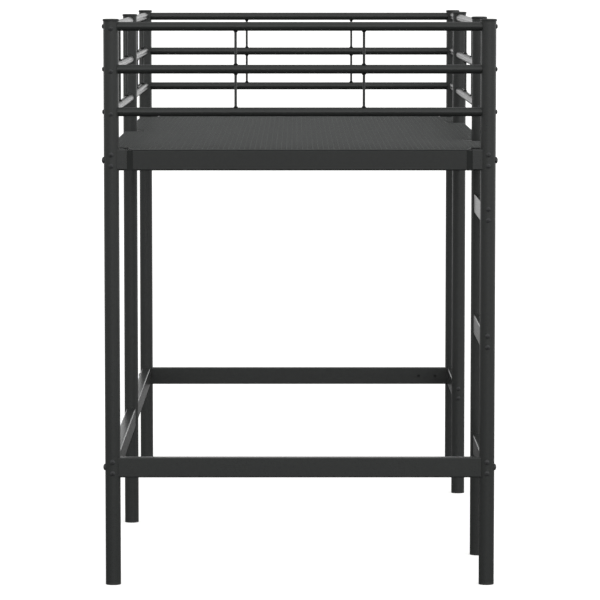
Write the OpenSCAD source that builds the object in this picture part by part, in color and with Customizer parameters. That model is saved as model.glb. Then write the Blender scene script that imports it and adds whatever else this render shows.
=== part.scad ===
// Loft bed of round steel posts, with a bolted ladder, guard rails all round and a wire mesh deck.
// Millimetres. +Z is up, -Y is the front end, and the origin is on the floor under the middle.

/* [Bed size] */
// Width of the mattress that the bed takes
mattress_w = 900; // [800:10:1200]
// Length of the mattress that the bed takes
mattress_l = 2000; // [1900:50:2200]
// Height of the whole bed, over its post caps
bed_h = 1405; // [1380:5:1700]
// Distance from the top of the bed rails up to the top of the post caps
guard_rise = 323; // [323:1:420]

/* [Posts] */
// Outer diameter of a post
post_d = 38; // [36:1:40]
// Wall of a post
post_wall = 1.5; // [1.2:0.1:2]
// Diameter of the rim of a post cap
cap_d = 40.5; // [40.5:0.5:46]
// Height of the rim of a post cap
cap_h = 6; // [5:1:9]
// Height of a foot under its post
foot_h = 5; // [4:1:10]

/* [Rails and ladder] */
// Width of the rectangular tube of the rails and rungs
rail_w = 25; // [22:1:26]
// Height of the rectangular tube of the rails and rungs
rail_h = 50; // [46:1:54]
// Wall of the rectangular tube
rail_wall = 1.5; // [1.2:0.1:2]
// Height of the centre of the lowest rails and the lowest rung
low_z = 294; // [200:1:320]
// Distance from one rung to the next
rung_pitch = 314.5; // [250:0.5:320]
// Distance between the axes of the two posts that carry the rungs
ladder_w = 455; // [400:5:500]

/* [Guards] */
// Diameter of a guard tube
guard_d = 22; // [20:1:24]
// Wall of a guard tube
guard_wall = 1.2; // [1:0.1:1.5]
// Distance from one guard tube to the next
guard_pitch = 105; // [90:1:105]
// Diameter of the rods between the guard tubes
rod_d = 6.5; // [5:0.5:8]

/* [Deck] */
// Width of the deck's frame, over its two side tubes
deck_w = 852; // [800:1:852]
// Width of a deck side tube
deck_side_w = 15; // [15:1:20]
// Distance that the mesh stays clear of a post in the middle of a side
mesh_notch = 43; // [35:1:60]
// Distance that the mesh stays clear of a corner post
mesh_corner = 85; // [50:1:120]

/* [Hidden] */
$fn = 48;

// Fits: gap at a welded or seated joint, in a bolt hole, and round a thread drawn plain
fit = 0.1;
hole_play = 0.5;
thread_play = 0.1;

post_r = post_d / 2;
post_x = (mattress_w + 29) / 2;
end_y = (mattress_l + 30) / 2;
ladder_y = -end_y + ladder_w;
post_top = bed_h - cap_h;

deck_z = bed_h - guard_rise;
bed_z = deck_z - rail_h / 2;
rung_zs = [for (i = [0:2]) low_z + i * rung_pitch];
top_guard_drop = 19;
guard_zs = [for (i = [0:2]) bed_h - top_guard_drop - i * guard_pitch];

// Screw sizes: shank, head diameter, head height, socket across corners
BIG = [8, 16, 5, 5.8];
RAIL = [6, 12, 3.5, 4.6];
GUARD = [5, 11, 3.5, 3.5];
// Bolts of one rail end sit this far above and below its middle
pair_off = 14;
// A side guard's bolt passes this far below the middle of its tube, clear of the end guard's bolt
cross_off = 5.3;
socket_depth = 2;

// Threaded inserts in the tube ends
insert_from = 20;
rail_insert_l = 20;
guard_insert_l = 16;
insert_play = 0.1;

// Threaded blocks inside the deck's side tubes. A block at a corner reaches this far past its bolt
block_l = 30;
block_h = 26;
block_beyond = 5.5;

// Deck frame
mesh_t = 0.5;
mesh_top = deck_z + 3;
mesh_overhang = rail_w / 2;
deck_in_x = deck_w / 2 - deck_side_w;
deck_side_end = end_y + rail_w / 2 - 1.5;
plug_t = 1.4;
plug_stem = 3;
bar_w = 20;
bar_h = 30;
bar_ys = [-500, -35, 35, 500];
bar_names = ["front", "mid_front", "mid_rear", "rear"];
end_plate = 3;
// The brackets stand this far above the rails, up beside the mesh
bracket_rise = 2.5;
corner_cut = 62;
// The two screws of a deck end sit this far inside its middle, and this far above and below it
end_screw_in = 4;
end_screw_off = 19;

// Pair of holes in the rear lower rail: distance from the bed's middle, spacing and diameter
spare_x = 389;
spare_pitch = 50;
spare_d = 7;

// Posts: name, side, place along the bed, rails bolted from outside, way those bolts point,
// rails joined by studs, and way the guard bolts point, which is 0 where studs join two guards
POSTS = [
    ["front_left", -1, -end_y, [bed_z, low_z], 1, [], 1],
    ["front_right", 1, -end_y, concat([bed_z], rung_zs), 1, [], undef],
    ["rear_left", -1, end_y, [bed_z, low_z], -1, [], -1],
    ["rear_right", 1, end_y, [bed_z, low_z], -1, [], -1],
    ["mid_left", -1, 0, [], 1, [bed_z, low_z], 0],
    ["ladder", 1, ladder_y, rung_zs, -1, [bed_z], 1],
    ["guard", 1, -ladder_y, [low_z], 1, [bed_z], 0]
];

// Stretches between two posts of one side: name, side, from, to, and where the guard's rods stand
SPANS = [
    ["left_front", -1, -end_y, 0, [0.43, 0.81]],
    ["left_rear", -1, 0, end_y, [0.43, 0.81]],
    ["right_ladder", 1, -end_y, ladder_y, []],
    ["right_middle", 1, ladder_y, -ladder_y, [1 / 3, 2 / 3]],
    ["right_rear", 1, -ladder_y, end_y, [1 / 2]]
];
LOW_SPANS = [SPANS[0], SPANS[1], SPANS[4]];
GUARD_SPANS = [SPANS[0], SPANS[1], SPANS[3], SPANS[4]];
LADDER = SPANS[2];
RUNG_NAMES = ["low", "middle", "high"];
ENDS = [["front", -1], ["rear", 1]];
SIDES = [["left", -1], ["right", 1]];
end_rods = [0.33, 0.67];

coat = [0.16, 0.165, 0.16];
mesh_coat = [0.24, 0.245, 0.24];
plastic = [0.1, 0.105, 0.1];
zinc = [0.62, 0.63, 0.64];
bolt_black = [0.08, 0.085, 0.08];

function is_corner(p) = abs(p[2]) == end_y;
function inward(p) = p[1] > 0 ? 180 : 0;
function pair(zs) = [for (z = zs, s = [-1, 1]) z + s * pair_off];

// Every bolt of a post: compass angle it points along, height, size, and reach past the post's axis
function side_bolts(p) = concat(
    [for (z = pair(p[3])) [90 * p[4], z, RAIL, insert_from + rail_insert_l]],
    p[6] == undef || p[6] == 0 ? []
        : [for (z = guard_zs) [90 * p[6], z - cross_off, GUARD, insert_from + guard_insert_l]]
);
function end_bolts(p) = !is_corner(p) ? [] : concat(
    [[inward(p), low_z, BIG, insert_from + rail_insert_l]],
    [for (z = guard_zs) [inward(p), z, GUARD, insert_from + guard_insert_l]]
);
function bracket_bolt(p) = [[inward(p), bed_z, BIG, post_x - deck_in_x - 2]];
function bolts(p) = concat(side_bolts(p), end_bolts(p), bracket_bolt(p));

// Every stud of a post: height, size and reach to each side of the post's axis
function studs(p) = concat(
    [for (z = pair(p[5])) [z, RAIL, insert_from + rail_insert_l]],
    p[6] == 0 ? [for (z = guard_zs) [z - cross_off, GUARD, insert_from + guard_insert_l]] : []
);

module at_post(p) {
    translate([p[1] * post_x, p[2], 0])
        children();
}

// Turns a shape that points up so that it points along a compass angle at a height
module pointing(angle, z) {
    translate([0, 0, z])
        rotate([0, 0, angle])
            rotate([0, 90, 0])
                children();
}

module rounded(w, h, r) {
    square([w - 2 * r, h], center = true);
    square([w, h - 2 * r], center = true);
    for (x = [-1, 1], y = [-1, 1])
        translate([x * (w / 2 - r), y * (h / 2 - r)])
            circle(r);
}

module box_profile(w, h, wall) {
    difference() {
        rounded(w, h, 2 * wall);
        rounded(w - 2 * wall, h - 2 * wall, wall);
    }
}

module ring_profile(d, wall) {
    difference() {
        circle(d = d);
        circle(d = d - 2 * wall);
    }
}

module along_x(from, to) {
    translate([(from + to) / 2, 0, 0])
        rotate([90, 0, 90])
            linear_extrude(to - from, center = true)
                children();
}

module along_y(from, to) {
    translate([0, (from + to) / 2, 0])
        rotate([90, 0, 0])
            linear_extrude(to - from, center = true)
                children();
}

module post_space(x, y) {
    translate([x, y, 0])
        cylinder(r = post_r + fit, h = bed_h);
}

// A tube along the bed, with both ends shaped to the posts it joins
module side_tube(span, z) {
    x = span[1] * post_x;
    difference() {
        translate([x, 0, z])
            along_y(span[2], span[3])
                children();
        post_space(x, span[2]);
        post_space(x, span[3]);
    }
}

// A tube across the bed, with both ends shaped to the corner posts
module end_tube(way, z) {
    difference() {
        translate([0, way * end_y, z])
            along_x(-post_x, post_x)
                children();
        post_space(-post_x, way * end_y);
        post_space(post_x, way * end_y);
    }
}

module rail_section() {
    box_profile(rail_w, rail_h, rail_wall);
}

module guard_section() {
    ring_profile(guard_d, guard_wall);
}

module post(p) {
    color(coat)
        at_post(p)
            difference() {
                translate([0, 0, foot_h])
                    linear_extrude(post_top - foot_h)
                        ring_profile(post_d, post_wall);
                for (b = bolts(p))
                    pointing(b[0], b[1])
                        cylinder(d = b[2][0] + hole_play, h = post_d + 2, center = true);
                for (s = studs(p))
                    pointing(90, s[0])
                        cylinder(d = s[1][0] + hole_play, h = post_d + 2, center = true);
            }
}

// Cap: a plain disc with a softened top edge and a short plug inside the post
module cap(p) {
    plug_h = 6;
    edge = 1.5;
    color(plastic)
        at_post(p)
            union() {
                translate([0, 0, post_top])
                    cylinder(d = cap_d, h = cap_h - edge);
                translate([0, 0, bed_h - edge])
                    cylinder(d1 = cap_d, d2 = cap_d - 2 * edge, h = edge);
                translate([0, 0, post_top - plug_h])
                    cylinder(d = post_d - 2 * post_wall - fit, h = plug_h + 1);
            }
}

// Foot: a disc as wide as the post, with a hollow plug pressed into it
module foot(p) {
    plug_h = 20;
    plug_wall = 2.5;
    color(plastic)
        at_post(p)
            difference() {
                union() {
                    cylinder(d = post_d, h = foot_h);
                    cylinder(d = post_d - 2 * post_wall - fit, h = foot_h + plug_h);
                }
                translate([0, 0, foot_h])
                    cylinder(d = post_d - 2 * post_wall - 2 * plug_wall, h = plug_h + 1);
            }
}

module lower_rail_end(way) {
    color(coat)
        difference() {
            end_tube(way, low_z)
                rail_section();
            if (way > 0)
                for (s = [-1, 1])
                    translate([spare_x + s * spare_pitch / 2, end_y - rail_w / 2, low_z])
                        rotate([90, 0, 0])
                            cylinder(d = spare_d, h = 2 * rail_wall + 1, center = true);
        }
}

module side_rail(span, z) {
    color(coat)
        side_tube(span, z)
            rail_section();
}

// The rods of a guard stand between its three tubes, welded to them
module rods() {
    for (z = [guard_zs[1], guard_zs[2]])
        translate([0, 0, z + guard_d / 2 + fit])
            cylinder(d = rod_d, h = guard_pitch - guard_d - 2 * fit);
}

module guard_side(span) {
    color(coat) {
        for (z = guard_zs)
            side_tube(span, z)
                guard_section();
        for (f = span[4])
            translate([span[1] * post_x, span[2] + f * (span[3] - span[2]), 0])
                rods();
    }
}

module guard_end(way) {
    color(coat) {
        for (z = guard_zs)
            end_tube(way, z)
                guard_section();
        for (f = end_rods)
            translate([(2 * f - 1) * post_x, way * end_y, 0])
                rods();
    }
}

// Deck side tube: bolted to every bracket on its side, and screwed to the ends and bars
module deck_side(way) {
    color(coat)
        difference() {
            translate([way * (deck_w - deck_side_w) / 2, 0, bed_z])
                along_y(-deck_side_end, deck_side_end)
                    box_profile(deck_side_w, rail_h, rail_wall);
            for (p = POSTS)
                if (p[1] == way)
                    at_deck_side(way, p[2], bed_z)
                        translate([way * deck_side_w / 2, 0, 0])
                            screw_hole(BIG[0] + hole_play, 2 * rail_wall + 1);
            for (s = deck_screw_places())
                at_deck_side(way, s[0], s[1])
                    screw_hole(RAIL[0] + hole_play, deck_side_w + 2);
        }
}

module at_deck_side(way, y, z) {
    translate([way * (deck_w - deck_side_w) / 2, y, z])
        children();
}

module screw_hole(d, l) {
    rotate([0, 90, 0])
        cylinder(d = d, h = l, center = true);
}

// Screws that hold a deck end and the bars between the side tubes: place along the bed, height
function deck_screw_places() = concat(
    [for (way = [-1, 1], s = [-1, 1]) [way * (end_y - end_screw_in), bed_z + s * end_screw_off]],
    [for (y = bar_ys) [y, deck_z - bar_h / 2]]
);

// A tube across the deck, closed at both ends by a plate that takes the screws
module deck_cross(y, w, h, z) {
    inside = w - 2 * rail_wall;
    difference() {
        union() {
            translate([0, y, z])
                along_x(-deck_in_x + fit, deck_in_x - fit)
                    box_profile(w, h, rail_wall);
            for (s = [-1, 1])
                translate([s * (deck_in_x - fit - end_plate / 2), y, z])
                    cube([end_plate, inside + rail_wall, h - rail_wall], center = true);
        }
        for (s = [-1, 1], q = deck_screw_places())
            if (abs(q[0] - y) < w / 2)
                translate([s * deck_in_x, q[0], q[1]])
                    screw_hole(RAIL[0] + thread_play, 4 * end_plate);
    }
}

module deck_end(way) {
    color(coat)
        deck_cross(way * end_y, rail_w, rail_h, bed_z);
}

module deck_bar(y) {
    color(coat)
        deck_cross(y, bar_w, bar_h, deck_z - bar_h / 2);
}

// One half of the mesh: the area that the welded wires cover, cut out round every post
module mesh(way) {
    edge_x = post_x + mesh_overhang;
    edge_y = end_y + rail_w / 2;
    color(mesh_coat)
        translate([0, 0, mesh_top - mesh_t])
            linear_extrude(mesh_t)
                difference() {
                    translate([-edge_x, way > 0 ? 1 : -edge_y])
                        square([2 * edge_x, edge_y - 1]);
                    for (p = POSTS)
                        mesh_cutout(p, edge_y);
                }
}

module mesh_cutout(p, edge_y) {
    reach = is_corner(p) ? mesh_corner : mesh_notch;
    translate([p[1] > 0 ? deck_w / 2 : -deck_w / 2 - 2 * post_r - rail_w, p[2] - reach])
        square([2 * post_r + rail_w, 2 * reach]);
    if (is_corner(p)) {
        y_way = sign(p[2]);
        polygon([
            [p[1] * deck_in_x, y_way * (edge_y + 1)],
            [p[1] * (deck_w / 2 + 1), y_way * (edge_y + 1)],
            [p[1] * (deck_w / 2 + 1), y_way * (edge_y - corner_cut)]
        ]);
    }
}

// A short piece of tube on every post, with a plate that the deck's side tube is bolted to
module deck_brackets() {
    wall = 2;
    h = rail_h + bracket_rise;
    plate_x = deck_w / 2 + fit;
    color(coat)
        for (p = POSTS)
            difference() {
                translate([p[1] * (plate_x + post_x) / 2, p[2], bed_z + bracket_rise / 2])
                    union() {
                        along_x(-(post_x - plate_x) / 2, (post_x - plate_x) / 2)
                            box_profile(rail_w, h, wall);
                        translate([-p[1] * (post_x - plate_x - wall) / 2, 0, 0])
                            cube([wall, rail_w - wall, h - wall], center = true);
                    }
                post_space(p[1] * post_x, p[2]);
                translate([p[1] * plate_x, p[2], bed_z])
                    screw_hole(BIG[0] + hole_play, 4 * wall);
            }
}

// Plastic plugs that close the four ends of the deck's side tubes
module deck_plugs() {
    inside = deck_side_w - 2 * rail_wall - insert_play;
    color(plastic)
        for (x = [-1, 1], y = [-1, 1])
            at_deck_side(x, y * deck_side_end, bed_z)
                union() {
                    translate([0, y * fit, 0])
                        along_y(min(0, y * plug_t), max(0, y * plug_t))
                            rounded(deck_side_w, rail_h, rail_wall);
                    translate([0, -y * plug_stem / 2 + y * fit, 0])
                        cube([inside, plug_stem, rail_h - 2 * rail_wall - insert_play], center = true);
                }
}

// Pan-head screws from outside the deck's side tubes into the ends and bars
module deck_screws() {
    head_d = 10;
    head_h = 3;
    color(zinc)
        for (way = [-1, 1], q = deck_screw_places())
            translate([way * (deck_w / 2 + fit), q[0], q[1]])
                rotate([0, -90 * way, 0]) {
                    cylinder(d = RAIL[0], h = deck_side_w + end_plate + 2);
                    translate([0, 0, -head_h])
                        cylinder(d = head_d, h = head_h);
                }
}

// Domed head with a socket, shaped underneath to the round post, and a plain shank
module bolt(size, reach) {
    head_r = size[1] / 2;
    dome = 0.6 * size[2];
    dome_r = (head_r * head_r + dome * dome) / (2 * dome);
    seat = post_r - sqrt(post_r * post_r - head_r * head_r) + fit;
    difference() {
        translate([0, 0, -post_r - size[2]])
            intersection() {
                translate([0, 0, dome_r])
                    sphere(dome_r);
                cylinder(r = head_r, h = size[2] + seat);
            }
        rotate([0, 90, 0])
            cylinder(r = post_r + fit, h = size[1] + 2, center = true);
        translate([0, 0, -post_r - size[2] - 1])
            cylinder(d = size[3], h = socket_depth + 1, $fn = 6);
    }
    translate([0, 0, -post_r - 1])
        cylinder(d = size[0], h = post_r + 1 + reach);
}

module bolt_group(size) {
    color(bolt_black)
        for (p = POSTS)
            at_post(p)
                for (b = bolts(p))
                    if (b[2] == size)
                        pointing(b[0], b[1])
                            bolt(size, b[3]);
}

module post_studs() {
    color(zinc)
        for (p = POSTS)
            at_post(p)
                for (s = studs(p))
                    pointing(90, s[0])
                        cylinder(d = s[1][0], h = 2 * s[2], center = true);
}

// Inserts for one end of a tube, standing along +Z from the post's axis
module rail_insert(holes, d) {
    translate([0, 0, insert_from])
        difference() {
            translate([0, 0, rail_insert_l / 2])
                cube([
                    rail_h - 2 * rail_wall - insert_play,
                    rail_w - 2 * rail_wall - insert_play,
                    rail_insert_l
                ], center = true);
            for (x = holes)
                translate([x, 0, -1])
                    cylinder(d = d + thread_play, h = rail_insert_l + 2);
        }
}

module guard_insert(x) {
    translate([0, 0, insert_from])
        difference() {
            cylinder(d = guard_d - 2 * guard_wall - insert_play, h = guard_insert_l);
            translate([x, 0, -1])
                cylinder(d = GUARD[0] + thread_play, h = guard_insert_l + 2);
        }
}

// Both ends of a span, as compass angles seen from the post at that end
module span_ends(span, z) {
    for (e = [[span[2], 90], [span[3], -90]])
        translate([span[1] * post_x, e[0], 0])
            pointing(e[1], z)
                children();
}

module cross_ends(way, z) {
    for (s = [-1, 1])
        translate([s * post_x, way * end_y, 0])
            pointing(s > 0 ? 180 : 0, z)
                children();
}

module rail_inserts() {
    color(zinc) {
        for (span = SPANS)
            span_ends(span, bed_z)
                rail_insert([-pair_off, pair_off], RAIL[0]);
        for (span = LOW_SPANS)
            span_ends(span, low_z)
                rail_insert([-pair_off, pair_off], RAIL[0]);
        for (z = rung_zs)
            span_ends(LADDER, z)
                rail_insert([-pair_off, pair_off], RAIL[0]);
        for (way = [-1, 1])
            cross_ends(way, low_z)
                rail_insert([0], BIG[0]);
        for (p = POSTS)
            deck_block(p);
    }
}

// Threaded block inside the deck's side tube, opposite a bracket
module deck_block(p) {
    shift = is_corner(p) ? -sign(p[2]) * (block_l / 2 - block_beyond) : 0;
    difference() {
        at_deck_side(p[1], p[2] + shift, bed_z)
            cube([deck_side_w - 2 * rail_wall - insert_play, block_l, block_h], center = true);
        at_deck_side(p[1], p[2], bed_z)
            screw_hole(BIG[0] + thread_play, deck_side_w);
    }
}

module guard_inserts() {
    color(zinc) {
        for (z = guard_zs) {
            for (span = GUARD_SPANS)
                span_ends(span, z)
                    guard_insert(cross_off);
            for (way = [-1, 1])
                cross_ends(way, z)
                    guard_insert(0);
        }
    }
}

for (p = POSTS) {
    post(p);
    cap(p);
    foot(p);
}
for (s = SPANS)
    side_rail(s, bed_z);
for (s = LOW_SPANS)
    side_rail(s, low_z);
for (s = GUARD_SPANS)
    guard_side(s);
for (i = [0:2])
    side_rail(LADDER, rung_zs[i]);
for (e = ENDS) {
    lower_rail_end(e[1]);
    guard_end(e[1]);
    deck_end(e[1]);
    mesh(e[1]);
}
for (s = SIDES)
    deck_side(s[1]);
for (i = [0:3])
    deck_bar(bar_ys[i]);
deck_brackets();
deck_plugs();
deck_screws();
bolt_group(BIG);  // large_bolts
bolt_group(RAIL);  // rail_bolts
bolt_group(GUARD);  // guard_bolts
post_studs();
rail_inserts();
guard_inserts();
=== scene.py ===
# Loft bed of black powder-coated steel tube, put together as it is on the bench: posts, caps and feet,
# rails and ladder, guards, deck, wire mesh, and last the bolts, then the white floor it stands on.
import math

import bmesh
import bpy
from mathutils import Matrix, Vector


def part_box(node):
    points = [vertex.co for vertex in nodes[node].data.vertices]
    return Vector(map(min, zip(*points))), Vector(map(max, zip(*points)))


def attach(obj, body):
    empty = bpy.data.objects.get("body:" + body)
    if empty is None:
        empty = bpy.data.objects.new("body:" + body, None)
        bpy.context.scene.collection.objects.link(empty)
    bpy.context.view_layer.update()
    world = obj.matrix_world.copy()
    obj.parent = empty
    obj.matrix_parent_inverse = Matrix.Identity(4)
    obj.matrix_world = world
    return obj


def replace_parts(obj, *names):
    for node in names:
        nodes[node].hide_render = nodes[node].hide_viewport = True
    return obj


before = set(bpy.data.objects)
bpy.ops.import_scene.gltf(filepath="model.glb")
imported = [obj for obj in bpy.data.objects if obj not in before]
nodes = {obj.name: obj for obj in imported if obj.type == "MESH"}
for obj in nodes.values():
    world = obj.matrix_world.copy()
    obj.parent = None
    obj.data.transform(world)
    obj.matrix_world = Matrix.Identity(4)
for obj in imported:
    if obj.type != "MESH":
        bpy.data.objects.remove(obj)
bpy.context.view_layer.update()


# ---- Camera -------------------------------------------------------------------------------------
# A long lens looks along the bed from beyond its front end, a little above the guard rails, and
# slightly left of the middle line. The distance is counted from the axes of the front posts.
scene = bpy.context.scene
low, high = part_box("post_front_left")
front_y = (low[1] + high[1]) / 2
eye_left = 0.0106
eye_away = 8.834
eye_height = 1.519
level = math.radians(90)
look_down = math.radians(5.228)
look_right = math.radians(0.072)
camera = bpy.data.objects.new("camera", bpy.data.cameras.new("camera"))
scene.collection.objects.link(camera)
camera.location = Vector((-eye_left, front_y - eye_away, eye_height))
camera.rotation_euler = (level - look_down, 0, -look_right)
camera.data.lens = 215.05
camera.data.sensor_width = 36
camera.data.clip_end = 400
camera.data.dof.use_dof = False
scene.camera = camera


# ---- Posts --------------------------------------------------------------------------------------
# Round steel tube, 38 mm across, phosphated and sprayed with black polyester powder, which melts in
# the oven into one hard skin. All seven posts are drilled for the bolts of the rails and guards.
MM = 0.001


def linear(hex_colour):
    """The linear colour of an sRGB hex value."""
    shares = [int(hex_colour[i:i + 2], 16) / 255 for i in (1, 3, 5)]
    return [c / 12.92 if c <= 0.04045 else ((c + 0.055) / 1.055) ** 2.4 for c in shares] + [1]


def add(material, kind, values=None, links=None, **settings):
    """Adds a node to a material, with its settings, the values of its sockets and their links."""
    made = material.node_tree.nodes.new(kind)
    for name, value in settings.items():
        setattr(made, name, value)
    for socket, value in (values or {}).items():
        made.inputs[socket].default_value = value
    for socket, source in (links or {}).items():
        material.node_tree.links.new(source, made.inputs[socket])
    return made


def new_material(name):
    """A node material with nothing in it, and its object coordinates in metres."""
    material = bpy.data.materials.new(name)
    material.use_nodes = True
    material.node_tree.nodes.clear()
    return material, add(material, "ShaderNodeTexCoord").outputs["Object"]


def finish_material(material, shader):
    """Joins a material's shader to its output."""
    add(material, "ShaderNodeOutputMaterial", links={"Surface": shader.outputs["BSDF"]})
    return material


def powder_coat(name, dark, pale, roughness, peel_mm, gloss):
    """Polyester powder coat: a mottled near-black skin with orange peel of the given width."""
    mottle_width = 9 * MM
    grain_width = 1.3 * MM
    peel_depth = 0.02 * MM
    unevenness = 0.05
    material, place = new_material(name)
    mottle = add(material, "ShaderNodeTexNoise",
                 {"Scale": 1 / mottle_width, "Detail": 4, "Roughness": 0.6}, {"Vector": place})
    grain = add(material, "ShaderNodeTexNoise", {"Scale": 1 / grain_width, "Detail": 2}, {"Vector": place})
    peel = add(material, "ShaderNodeTexNoise", {"Scale": 1 / (peel_mm * MM), "Detail": 2},
               {"Vector": place})
    colour = add(material, "ShaderNodeMix", {6: linear(dark), 7: linear(pale)},
                 {0: mottle.outputs["Fac"]}, data_type="RGBA")
    rough = add(material, "ShaderNodeMapRange",
                {"From Min": 0.25, "From Max": 0.75,
                 "To Min": roughness - unevenness, "To Max": roughness + unevenness},
                {"Value": grain.outputs["Fac"]})
    bump = add(material, "ShaderNodeBump", {"Strength": 0.35, "Distance": peel_depth},
               {"Height": peel.outputs["Fac"]})
    shader = add(material, "ShaderNodeBsdfPrincipled", {"IOR": 1.5, "Specular IOR Level": gloss},
                 {"Base Color": colour.outputs[2], "Roughness": rough.outputs["Result"],
                  "Normal": bump.outputs["Normal"]})
    return finish_material(material, shader)


def coat_nodes(material, *starts):
    """Gives a material to every CAD node whose name begins with one of the given words."""
    for name, piece in nodes.items():
        if name.startswith(starts):
            piece.data.materials.clear()
            piece.data.materials.append(material)


# To the eye it is satin black: dark face on, and pale only where a tube runs away from the eye and
# mirrors the white behind it. Orange peel is 1 to 3 mm across, and is drawn at its real size.
black_powder = powder_coat("black_powder_coat", dark="#313332", pale="#393b3a", roughness=0.3,
                           peel_mm=1.8, gloss=0.36)
coat_nodes(black_powder, "post_")


# ---- Post caps and feet -------------------------------------------------------------------------
# Injection-moulded black polyethylene. The caps are pressed into the tops of the posts and the feet
# into their lower ends, each with a rim that stands a little proud of the tube.
def moulded_plastic(name, colour, roughness, grain_mm, gloss):
    """Black polyethylene with the fine grain of a spark-eroded mould."""
    grain_depth = 0.03 * MM
    unevenness = 0.06
    material, place = new_material(name)
    grain = add(material, "ShaderNodeTexNoise", {"Scale": 1 / (grain_mm * MM), "Detail": 3},
                {"Vector": place})
    rough = add(material, "ShaderNodeMapRange",
                {"From Min": 0.3, "From Max": 0.7,
                 "To Min": roughness - unevenness, "To Max": roughness + unevenness},
                {"Value": grain.outputs["Fac"]})
    bump = add(material, "ShaderNodeBump", {"Strength": 0.4, "Distance": grain_depth},
               {"Height": grain.outputs["Fac"]})
    shader = add(material, "ShaderNodeBsdfPrincipled",
                 {"Base Color": linear(colour), "IOR": 1.5, "Specular IOR Level": gloss},
                 {"Roughness": rough.outputs["Result"], "Normal": bump.outputs["Normal"]})
    return finish_material(material, shader)


# To the eye it is a shade softer than the powder coat, as its grain scatters the light. The real
# grain is about 0.2 mm, and is drawn three times as coarse so that it shows.
black_plastic = moulded_plastic("black_moulded_plastic", colour="#343635", roughness=0.45,
                                grain_mm=0.6, gloss=0.5)
coat_nodes(black_plastic, "cap_", "foot_")


def make_piece(name, mesh, material, smooth=True):
    """Turns a bmesh into a piece of the bed."""
    data = bpy.data.meshes.new(name)
    bmesh.ops.recalc_face_normals(mesh, faces=mesh.faces)
    mesh.to_mesh(data)
    mesh.free()
    for face in data.polygons:
        face.use_smooth = smooth
    data.materials.append(material)
    piece = bpy.data.objects.new(name, data)
    scene.collection.objects.link(piece)
    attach(piece, "root")
    return piece


def join_rings(mesh, rings):
    """Closes the skin between each ring of points and the next, where a ring may be one point."""
    turns = max(len(ring) for ring in rings)
    for a, b in zip(rings, rings[1:]):
        for i in range(turns):
            j = (i + 1) % turns
            around = [a[i % len(a)], a[j % len(a)], b[j % len(b)], b[i % len(b)]]
            mesh.faces.new(list(dict.fromkeys(around)))


def lathe(mesh, centre, profile, turns=64):
    """Spins a profile of (radius, height) points round a vertical axis, closed where it meets it."""
    rings = []
    for radius, height in profile:
        if radius == 0:
            rings.append([mesh.verts.new((centre[0], centre[1], height))])
            continue
        angles = [2 * math.pi * i / turns for i in range(turns)]
        rings.append([mesh.verts.new((centre[0] + radius * math.cos(a),
                                      centre[1] + radius * math.sin(a), height)) for a in angles])
    join_rings(mesh, rings)


# The cap that shows is turned with a rolled edge, a slightly crowned top and a shadow line where it
# sits on the tube.
cap_edge = 2.2 * MM
cap_crown = 0.5 * MM
cap_rim = 6 * MM
neck_in = 3.5 * MM
shadow_in = 2.2 * MM
shadow_gap = 0.4 * MM
rim_bevel = 0.5 * MM
for name in [n for n in nodes if n.startswith("cap_")]:
    low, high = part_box(name)
    middle = ((low[0] + high[0]) / 2, (low[1] + high[1]) / 2)
    cap_r = (high[0] - low[0]) / 2
    rim_low = high[2] - cap_rim
    edge_z = high[2] - cap_crown - cap_edge
    neck = [(0, low[2]), (cap_r - neck_in, low[2]), (cap_r - neck_in, rim_low - shadow_gap)]
    rim = [(cap_r - shadow_in, rim_low), (cap_r - rim_bevel, rim_low), (cap_r, rim_low + rim_bevel)]
    roll = [(cap_r - cap_edge + cap_edge * math.cos(t), edge_z + cap_edge * math.sin(t))
            for t in [math.radians(15 * i) for i in range(7)]]
    crown = [(cap_r * 0.6, high[2] - 0.3 * cap_crown), (cap_r * 0.3, high[2] - 0.05 * cap_crown),
             (0, high[2])]
    mesh = bmesh.new()
    lathe(mesh, middle, neck + rim + roll + crown)
    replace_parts(make_piece("turned_" + name, mesh, black_plastic), name)


# ---- Rails and ladder ---------------------------------------------------------------------------
# Rectangular steel tube, 25 x 50 mm with rounded corners, sawn and notched to sit against the round
# posts, then powder coated. The rungs are the same tube, bolted between the two ladder posts.
coat_nodes(black_powder, "lower_rail_", "bed_rail_", "rung_")


# ---- Guards -------------------------------------------------------------------------------------
# Three round tubes, 22 mm across, with thin rods welded upright between them. Each rod meets its
# tube in a small MIG weld under the powder coat: a rippled ring, thicker where the torch paused.
coat_nodes(black_powder, "guard_front", "guard_rear", "guard_left", "guard_right")

# The beads are coloured nearly black and dull: painted shade for the contact shadow where each
# rod meets its tube. Their fine peel of 1 mm is drawn at its real size.
weld_coat_painted_shade = powder_coat("weld_coat_with_painted_shade", dark="#0c0d0c", pale="#151615",
                          roughness=0.65, peel_mm=1, gloss=0.25)
rod_r = 6.5 / 2 * MM
bead_high = 3.4 * MM
bead_out = 2.6 * MM
bead_under = 0.8 * MM
bead_in_rod = 0.2 * MM
small_ripples = 7
small_swell = 0.12
torch_pauses = 3
pause_swell = 0.08


def weld_ring(mesh, centre, way, seed):
    """A weld bead round a rod, lying on the tube below (way 1) or above it (way -1)."""
    turns = 28
    steps = [(bead_out, -bead_under), (0.75 * bead_out, 0.2 * bead_high),
             (0.35 * bead_out, 0.6 * bead_high), (-bead_in_rod, bead_high)]
    rings = []
    for out, up in steps:
        ring = []
        for i in range(turns):
            a = 2 * math.pi * i / turns
            swell = small_swell * math.sin(small_ripples * a + seed)
            ripple = 1 + swell + pause_swell * math.sin(torch_pauses * a + 2 * seed)
            r = rod_r + out * (ripple if out > 0 else 1)
            ring.append(mesh.verts.new((centre[0] + r * math.cos(a), centre[1] + r * math.sin(a),
                                        centre[2] + way * up * ripple)))
        rings.append(ring)
    join_rings(mesh, rings)
    mesh.faces.new(rings[0])
    mesh.faces.new(rings[-1])


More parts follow.
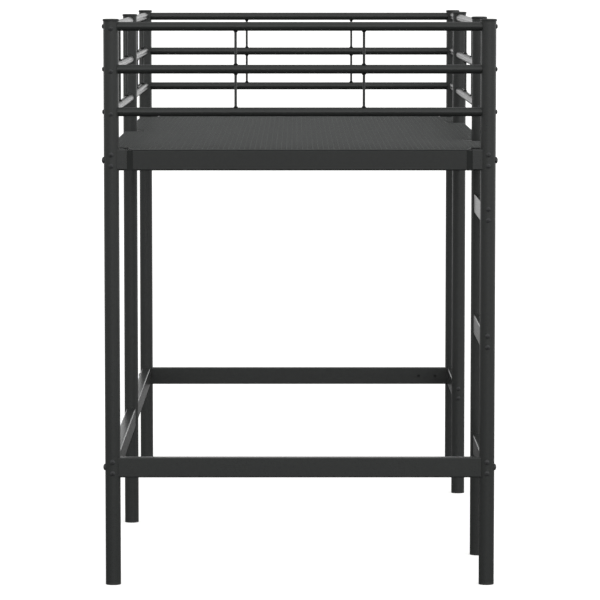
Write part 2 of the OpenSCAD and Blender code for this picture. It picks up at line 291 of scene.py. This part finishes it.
# Where each guard's rods stand, as shares of the way from its first post to its second.
guard_rods = {
    "guard_front": [0.33, 0.67],
    "guard_rear": [0.33, 0.67],
    "guard_left_front": [0.43, 0.81],
    "guard_left_rear": [0.43, 0.81],
    "guard_right_middle": [1 / 3, 2 / 3],
    "guard_right_rear": [1 / 2],
}
low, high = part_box("foot_front_left")
post_r = (high[0] - low[0]) / 2
for name, places in guard_rods.items():
    low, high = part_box(name)
    along = 0 if high[0] - low[0] > high[1] - low[1] else 1
    tube_r = (high[1 - along] - low[1 - along]) / 2
    seat = post_r - math.sqrt(post_r ** 2 - tube_r ** 2)
    start = low[along] - post_r + seat
    stop = high[along] + post_r - seat
    levels = [high[2] - tube_r, (low[2] + high[2]) / 2, low[2] + tube_r]
    mesh = bmesh.new()
    for k, share in enumerate(places):
        centre = [(low[0] + high[0]) / 2, (low[1] + high[1]) / 2]
        centre[along] = start + share * (stop - start)
        for upper, lower in zip(levels, levels[1:]):
            weld_ring(mesh, (centre[0], centre[1], lower + tube_r), 1, k + lower)
            weld_ring(mesh, (centre[0], centre[1], upper - tube_r), -1, k + upper)
    make_piece("welds_" + name, mesh, weld_coat_painted_shade)


# ---- Deck frame ---------------------------------------------------------------------------------
# Two flat side tubes bolted to a short bracket on every post, with a wide tube across each end and
# narrow bars between. All are powder coated, and plastic plugs close the side tubes' ends.
# To the eye the deck is a shade darker and duller than the posts.
deck_powder = powder_coat("black_powder_coat_on_deck", dark="#2c2e2d", pale="#343635",
                          roughness=0.36, peel_mm=1.8, gloss=0.32)
coat_nodes(deck_powder, "deck_side_", "deck_end_", "deck_bar_")
coat_nodes(black_powder, "deck_brackets")

# To the eye the plugs are a matt, darker strip at each end of the deck. Their grain is drawn about
# four times as coarse as the real 0.2 mm, so that it shows.
plug_plastic = moulded_plastic("black_plug_plastic", colour="#2c2e2d", roughness=0.7,
                               grain_mm=0.8, gloss=0.2)
coat_nodes(plug_plastic, "deck_plugs")


# ---- Wire mesh ----------------------------------------------------------------------------------
# Hard drawn steel wire, 2 mm thick, in squares of 13 mm. The cross wires lie on the long wires and
# sink into them where they are spot welded, inside a thicker border wire. Both halves lie on the
# rails, cut out round the posts.
wire_r = 1 * MM
border_r = 1.5 * MM
wire_pitch = 13 * MM
wire_sunk = 0.3 * MM
notch = 43 * MM
corner_notch = 85 * MM
corner_cut = 62 * MM
seam = 1 * MM
hair = 0.01 * MM
steps_per_metre = 1000

# The wires are coloured mid grey: a painted sheen for the sky that each catches on its round top,
# which blends into an even grey when seen along the bed. The peel is drawn coarser than the wire is
# thick, so that it shows.
wire_coat_painted_sheen = powder_coat("wire_coat_with_painted_sheen", dark="#515352", pale="#595b5a",
                          roughness=0.45, peel_mm=3, gloss=0.3)


def wire(mesh, start, stop, radius, sides=8):
    """A straight round wire between two points, with flat ends."""
    start = Vector(start)
    stop = Vector(stop)
    forward = (stop - start).normalized()
    side = forward.cross(Vector((0, 0, 1))).normalized()
    up = side.cross(forward)
    rings = []
    for point in (start, stop):
        rings.append([mesh.verts.new(point + radius * (math.cos(a) * side + math.sin(a) * up))
                      for a in [2 * math.pi * (i + 0.5) / sides for i in range(sides)]])
    join_rings(mesh, rings)
    mesh.faces.new(rings[0])
    mesh.faces.new(rings[1])


side_low, side_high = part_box("deck_side_right")
inner_x = side_high[0] - border_r
corner_x = side_low[0]
posts = []
for name in [n for n in nodes if n.startswith("post_") and n != "post_studs"]:
    low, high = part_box(name)
    posts.append(((low[0] + high[0]) / 2, (low[1] + high[1]) / 2))
end_post_y = max(y for x, y in posts)


def edge_of_mesh(side, y, edge_x, edge_y):
    """How far out the mesh reaches on one side (-1 or 1) at a place along the bed."""
    for x, post_y in posts:
        reach = corner_notch if abs(post_y) == end_post_y else notch
        if x * side > 0 and abs(y - post_y) < reach:
            beyond = abs(y) - (edge_y - corner_cut)
            return inner_x - (inner_x - corner_x) * max(0, beyond) / corner_cut
    return edge_x


def outline(half, edge_x, edge_y):
    """The corners of one half of the mesh, in order round it, from the seam along the right side."""
    ways = {}
    for side in (1, -1):
        stops = [(edge_of_mesh(side, half * (seam + hair), edge_x, edge_y), seam)]
        marks = [end_post_y - corner_notch]
        for x, post_y in posts:
            if x * side > 0 and abs(post_y) < end_post_y:
                marks += [half * (post_y - notch), half * (post_y + notch)]
        for mark in sorted(m for m in marks if m > seam):
            before = edge_of_mesh(side, half * (mark - hair), edge_x, edge_y)
            after = edge_of_mesh(side, half * (mark + hair), edge_x, edge_y)
            stops += [(before, mark), (after, mark)]
        stops += [(inner_x, edge_y - corner_cut), (corner_x, edge_y)]
        ways[side] = [(side * x, half * y) for x, y in stops]
    return ways[1] + ways[-1][::-1]


for end in ("front", "rear"):
    low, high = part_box("mesh_" + end)
    half = -1 if end == "front" else 1
    edge_x = high[0] - border_r
    edge_y = max(abs(low[1]), abs(high[1])) - border_r
    top = high[2]
    long_z = top - wire_r - wire_sunk
    mesh = bmesh.new()
    corners = [Vector((x, y, top - border_r)) for x, y in outline(half, edge_x, edge_y)]
    for a, b in zip(corners, corners[1:] + corners[:1]):
        forward = (b - a).normalized() * border_r
        wire(mesh, a - forward, b + forward, border_r, sides=12)
    # Each long wire is cut wherever it would run out past the border, looked for millimetre by
    # millimetre, and goes on behind the notch.
    count = round(2 * edge_x / wire_pitch)
    steps = [step / steps_per_metre for step in range(2, int(edge_y * steps_per_metre) + 1)]
    for i in range(1, count):
        x = -edge_x + 2 * edge_x * i / count
        side = 1 if x > 0 else -1
        inside = [abs(x) < edge_of_mesh(side, half * y, edge_x, edge_y) - wire_r for y in steps]
        begin = None
        for y, within in list(zip(steps, inside)) + [(steps[-1] + MM, False)]:
            if within and begin is None:
                begin = y
            if not within and begin is not None:
                wire(mesh, (x, half * begin, long_z), (x, half * (y - MM), long_z), wire_r)
                begin = None
    for i in range(1, int(edge_y / wire_pitch) + 1):
        y = half * (i * wire_pitch - wire_pitch / 2)
        left = -edge_of_mesh(-1, y, edge_x, edge_y)
        right = edge_of_mesh(1, y, edge_x, edge_y)
        wire(mesh, (left, y, top - wire_r), (right, y, top - wire_r), wire_r)
    piece = make_piece("wires_" + end, mesh, wire_coat_painted_sheen, smooth=False)
    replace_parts(piece, "mesh_" + end)


# ---- Bolts --------------------------------------------------------------------------------------
# Socket button-head bolts of hardened steel with a black oxide finish hold the bed together. The
# studs, inserts and deck screws are of softer steel, zinc plated, and sit mostly out of sight.
def plated_steel(name, colour, spots, roughness, metal):
    """Steel with a thin plated or oxide skin, a little spotted by the bath."""
    spot_width = 1.5 * MM
    spot_depth = 0.02 * MM
    material, place = new_material(name)
    flecks = add(material, "ShaderNodeTexVoronoi", {"Scale": 1 / spot_width}, {"Vector": place})
    mix = add(material, "ShaderNodeMix", {6: linear(colour), 7: linear(spots)},
              {0: flecks.outputs["Distance"]}, data_type="RGBA")
    bump = add(material, "ShaderNodeBump", {"Strength": 0.2, "Distance": spot_depth},
               {"Height": flecks.outputs["Distance"]})
    shader = add(material, "ShaderNodeBsdfPrincipled", {"Metallic": metal, "Roughness": roughness},
                 {"Base Color": mix.outputs[2], "Normal": bump.outputs["Normal"]})
    return finish_material(material, shader)


# To the eye black oxide is dark and dull, only half a metal. Zinc is bluish, pale and satin. Both
# have spots of about 0.5 mm, drawn at 1.5 mm so that they show.
black_oxide = plated_steel("black_oxide_steel", colour="#404142", spots="#474849", roughness=0.55,
                           metal=0.3)
zinc_plate = plated_steel("zinc_plated_steel", colour="#b4b8bb", spots="#c6c9cc", roughness=0.35,
                          metal=1)
coat_nodes(black_oxide, "large_bolts", "rail_bolts", "guard_bolts")
coat_nodes(zinc_plate, "post_studs", "rail_inserts", "guard_inserts", "deck_screws")


# ---- White floor and light ----------------------------------------------------------------------
# Matt white paper that glows faintly, under a wide soft sky. The paper is kept out of reflections
# and bounced light, so the undersides of the tubes stay black.
def matt_paper(name, colour):
    """Matt white paper with soft fibres, drawn 25 mm wide where real ones would never show."""
    fibre_width = 25 * MM
    material, place = new_material(name)
    fibres = add(material, "ShaderNodeTexNoise", {"Scale": 1 / fibre_width, "Detail": 4},
                 {"Vector": place})
    bump = add(material, "ShaderNodeBump", {"Strength": 0.05, "Distance": MM},
               {"Height": fibres.outputs["Fac"]})
    shader = add(material, "ShaderNodeBsdfPrincipled",
                 {"Base Color": linear(colour), "Roughness": 0.9, "Specular IOR Level": 0.1,
                  "Emission Color": linear(colour), "Emission Strength": 0.7},
                 {"Normal": bump.outputs["Normal"]})
    return finish_material(material, shader)


# To the eye the paper is plain white, with no edge and hardly a shadow.
floor_reach = 220
floor_corners = [(-1, -1), (1, -1), (1, 1), (-1, 1)]
mesh = bmesh.new()
mesh.faces.new([mesh.verts.new((x * floor_reach, y * floor_reach, 0)) for x, y in floor_corners])
floor_data = bpy.data.meshes.new("floor")
mesh.to_mesh(floor_data)
mesh.free()
floor_data.materials.append(matt_paper("white_floor_paper", "#f4f4f3"))
floor = bpy.data.objects.new("floor", floor_data)
scene.collection.objects.link(floor)
floor.visible_glossy = False
floor.visible_diffuse = False

sky = bpy.data.worlds.new("soft_sky")
sky.use_nodes = True
sky.node_tree.nodes.clear()
scene.world = sky
towards = add(sky, "ShaderNodeTexCoord").outputs["Generated"]
parts = add(sky, "ShaderNodeSeparateXYZ", links={"Vector": towards})

# It is brighter along the bed than across it, and a little brighter towards the ladder's side.
across = add(sky, "ShaderNodeMath", links={0: parts.outputs["X"]}, operation="ABSOLUTE")
ends = add(sky, "ShaderNodeMapRange", {"From Min": 0, "From Max": 1, "To Min": 1.6, "To Max": 1.0},
           {"Value": across.outputs[0]})
lean = add(sky, "ShaderNodeMapRange", {"From Min": -0.3, "From Max": 0.3, "To Min": -0.17, "To Max": 0.19},
           {"Value": parts.outputs["X"]}, interpolation_type="SMOOTHSTEP")
leaning = add(sky, "ShaderNodeMath", links={0: ends.outputs[0], 1: lean.outputs[0]}, operation="ADD")

# It fades overhead.
height = add(sky, "ShaderNodeMapRange", {"From Min": 0.1, "From Max": 0.8, "To Min": 0, "To Max": -0.7},
             {"Value": parts.outputs["Z"]}, interpolation_type="SMOOTHSTEP")
raised = add(sky, "ShaderNodeMath", links={0: leaning.outputs[0], 1: height.outputs[0]}, operation="ADD")

# It is dimmer behind the bed, except for a bright band low down that the eye sees beyond the floor.
behind = add(sky, "ShaderNodeMapRange", {"From Min": 0, "From Max": 0.6, "To Min": 0, "To Max": 0.6},
             {"Value": parts.outputs["Y"]}, interpolation_type="SMOOTHSTEP")
lifted = add(sky, "ShaderNodeMapRange", {"From Min": 0.04, "From Max": 0.25, "To Min": 0, "To Max": 1},
             {"Value": parts.outputs["Z"]}, interpolation_type="SMOOTHSTEP")
dimmed = add(sky, "ShaderNodeMath", links={0: behind.outputs[0], 1: lifted.outputs[0]},
             operation="MULTIPLY")
kept = add(sky, "ShaderNodeMath", {0: 1}, {1: dimmed.outputs[0]}, operation="SUBTRACT")
above = add(sky, "ShaderNodeMath", links={0: raised.outputs[0], 1: kept.outputs[0]},
            operation="MULTIPLY")

# Below the horizon it is nearly black, and that is all the undersides of the tubes can mirror.
below = add(sky, "ShaderNodeMapRange",
            {"From Min": -0.14, "From Max": -0.03, "To Min": 0.02, "To Max": 1},
            {"Value": parts.outputs["Z"]}, interpolation_type="SMOOTHSTEP")
strength = add(sky, "ShaderNodeMath", links={0: above.outputs[0], 1: below.outputs[0]},
               operation="MULTIPLY")
light = add(sky, "ShaderNodeBackground", {"Color": linear("#ffffff")}, {"Strength": strength.outputs[0]})
add(sky, "ShaderNodeOutputWorld", links={"Surface": light.outputs["Background"]})
scene.view_settings.view_transform = "Standard"
scene.view_settings.look = "None"
